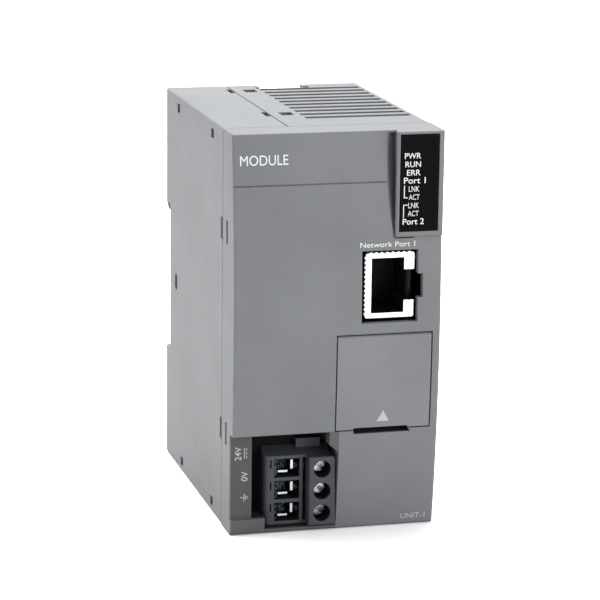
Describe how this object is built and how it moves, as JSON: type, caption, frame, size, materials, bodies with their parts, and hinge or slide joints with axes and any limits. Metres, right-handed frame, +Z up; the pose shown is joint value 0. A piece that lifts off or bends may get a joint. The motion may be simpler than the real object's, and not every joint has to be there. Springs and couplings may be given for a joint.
{
  "type": "plc module",
  "caption": "Rail-mounted controller coupler with arched front, status window, network jacks, hinged port door, pluggable screw terminal and sliding rail clamp.",
  "frame": {"origin": "centre of the underside of the bounding box", "axes": "+X to the right seen from the front, +Y to the rear (the rail side), +Z up"},
  "size_m": [0.047, 0.0716, 0.09],
  "materials": {
    "case_grey": "fine moulded texture",
    "window_black": "smooth, smoked",
    "clear_plastic": "clear moulded",
    "led_resin": "diffused",
    "terminal_dark": "moulded",
    "jack_shield": "bright tinned sheet",
    "jack_black": "moulded",
    "contact_gold": "gold plated",
    "plated_steel": "zinc plated",
    "tinned_copper": "tinned",
    "board_green": "solder mask",
    "chip_black": "moulded epoxy",
    "ferrite": "sintered",
    "winding_tape": "yellow tape",
    "can_aluminium": "sleeved can"
  },
  "bodies": {
    "module": {"left_housing": "case_grey", "right_housing": "case_grey", "front_cover": "case_grey", "status_lens": "window_black", "light_guide": "clear_plastic", "status_leds": "led_resin", "main_board": "board_green", "power_board": "board_green", "port_1_shield": "jack_shield", "port_2_shield": "jack_shield", "port_1_insert": "jack_black", "port_2_insert": "jack_black", "port_1_contacts": "contact_gold", "port_2_contacts": "contact_gold", "terminal_header": "terminal_dark", "header_pins": "tinned_copper", "board_link_header": "jack_black", "board_link_socket": "jack_black", "board_link_pins": "contact_gold", "processor_chip": "chip_black", "network_chips": "chip_black", "memory_chips": "chip_black", "port_transformers": "chip_black", "power_transistors": "chip_black", "crystal": "plated_steel", "transformer_core": "ferrite", "transformer_bobbin": "winding_tape", "bulk_capacitors": "can_aluminium", "power_inductor": "ferrite", "input_fuse": "winding_tape", "expansion_socket": "jack_black", "expansion_contacts": "contact_gold"},
    "door": {"port_door": "case_grey"},
    "rail_clamp": {"din_clamp": "case_grey"},
    "bus_cover": {"expansion_cover": "case_grey"},
    "power_plug": {"terminal_plug_body": "terminal_dark", "plug_contacts": "tinned_copper"},
    "screw_1": {"terminal_screw_1": "plated_steel"},
    "clamp_plate_1": {"wire_clamp_1": "plated_steel"},
    "screw_2": {"terminal_screw_2": "plated_steel"},
    "clamp_plate_2": {"wire_clamp_2": "plated_steel"},
    "screw_3": {"terminal_screw_3": "plated_steel"},
    "clamp_plate_3": {"wire_clamp_3": "plated_steel"}
  },
  "joints": [
    {"name": "door_hinge", "type": "hinge", "parent": "module", "child": "door", "pos_m": [0.01068, -0.03485, 0.04387], "axis": [-1, 0, 0], "range_deg": [0, 100]},
    {"name": "clamp_slide", "type": "slide", "parent": "module", "child": "rail_clamp", "axis": [0, 0, -1], "range_m": [0, 0.004]},
    {"name": "bus_cover_pull", "type": "slide", "parent": "module", "child": "bus_cover", "axis": [1, 0, 0], "range_m": [0, 0.006]},
    {"name": "plug_pull", "type": "slide", "parent": "module", "child": "power_plug", "axis": [0, -1, 0], "range_m": [0, 0.014]},
    {"name": "screw_1_turn", "type": "hinge", "parent": "power_plug", "child": "screw_1", "pos_m": [-0.00255, -0.02985, 0.01413], "axis": [0, 1, 0], "range_deg": [0, 1440]},
    {"name": "clamp_plate_1_press", "type": "slide", "parent": "power_plug", "child": "clamp_plate_1", "axis": [-1, 0, 0], "range_m": [0, 0.002]},
    {"name": "screw_2_turn", "type": "hinge", "parent": "power_plug", "child": "screw_2", "pos_m": [-0.00255, -0.02985, 0.00905], "axis": [0, 1, 0], "range_deg": [0, 1440]},
    {"name": "clamp_plate_2_press", "type": "slide", "parent": "power_plug", "child": "clamp_plate_2", "axis": [-1, 0, 0], "range_m": [0, 0.002]},
    {"name": "screw_3_turn", "type": "hinge", "parent": "power_plug", "child": "screw_3", "pos_m": [-0.00255, -0.02985, 0.00397], "axis": [0, 1, 0], "range_deg": [0, 1440]},
    {"name": "clamp_plate_3_press", "type": "slide", "parent": "power_plug", "child": "clamp_plate_3", "axis": [-1, 0, 0], "range_m": [0, 0.002]}
  ],
  "couplings": [
    {"joint": "screw_1_turn", "follows": "clamp_plate_1_press", "rad_per_m": 12566},
    {"joint": "screw_2_turn", "follows": "clamp_plate_2_press", "rad_per_m": 12566},
    {"joint": "screw_3_turn", "follows": "clamp_plate_3_press", "rad_per_m": 12566}
  ]
}
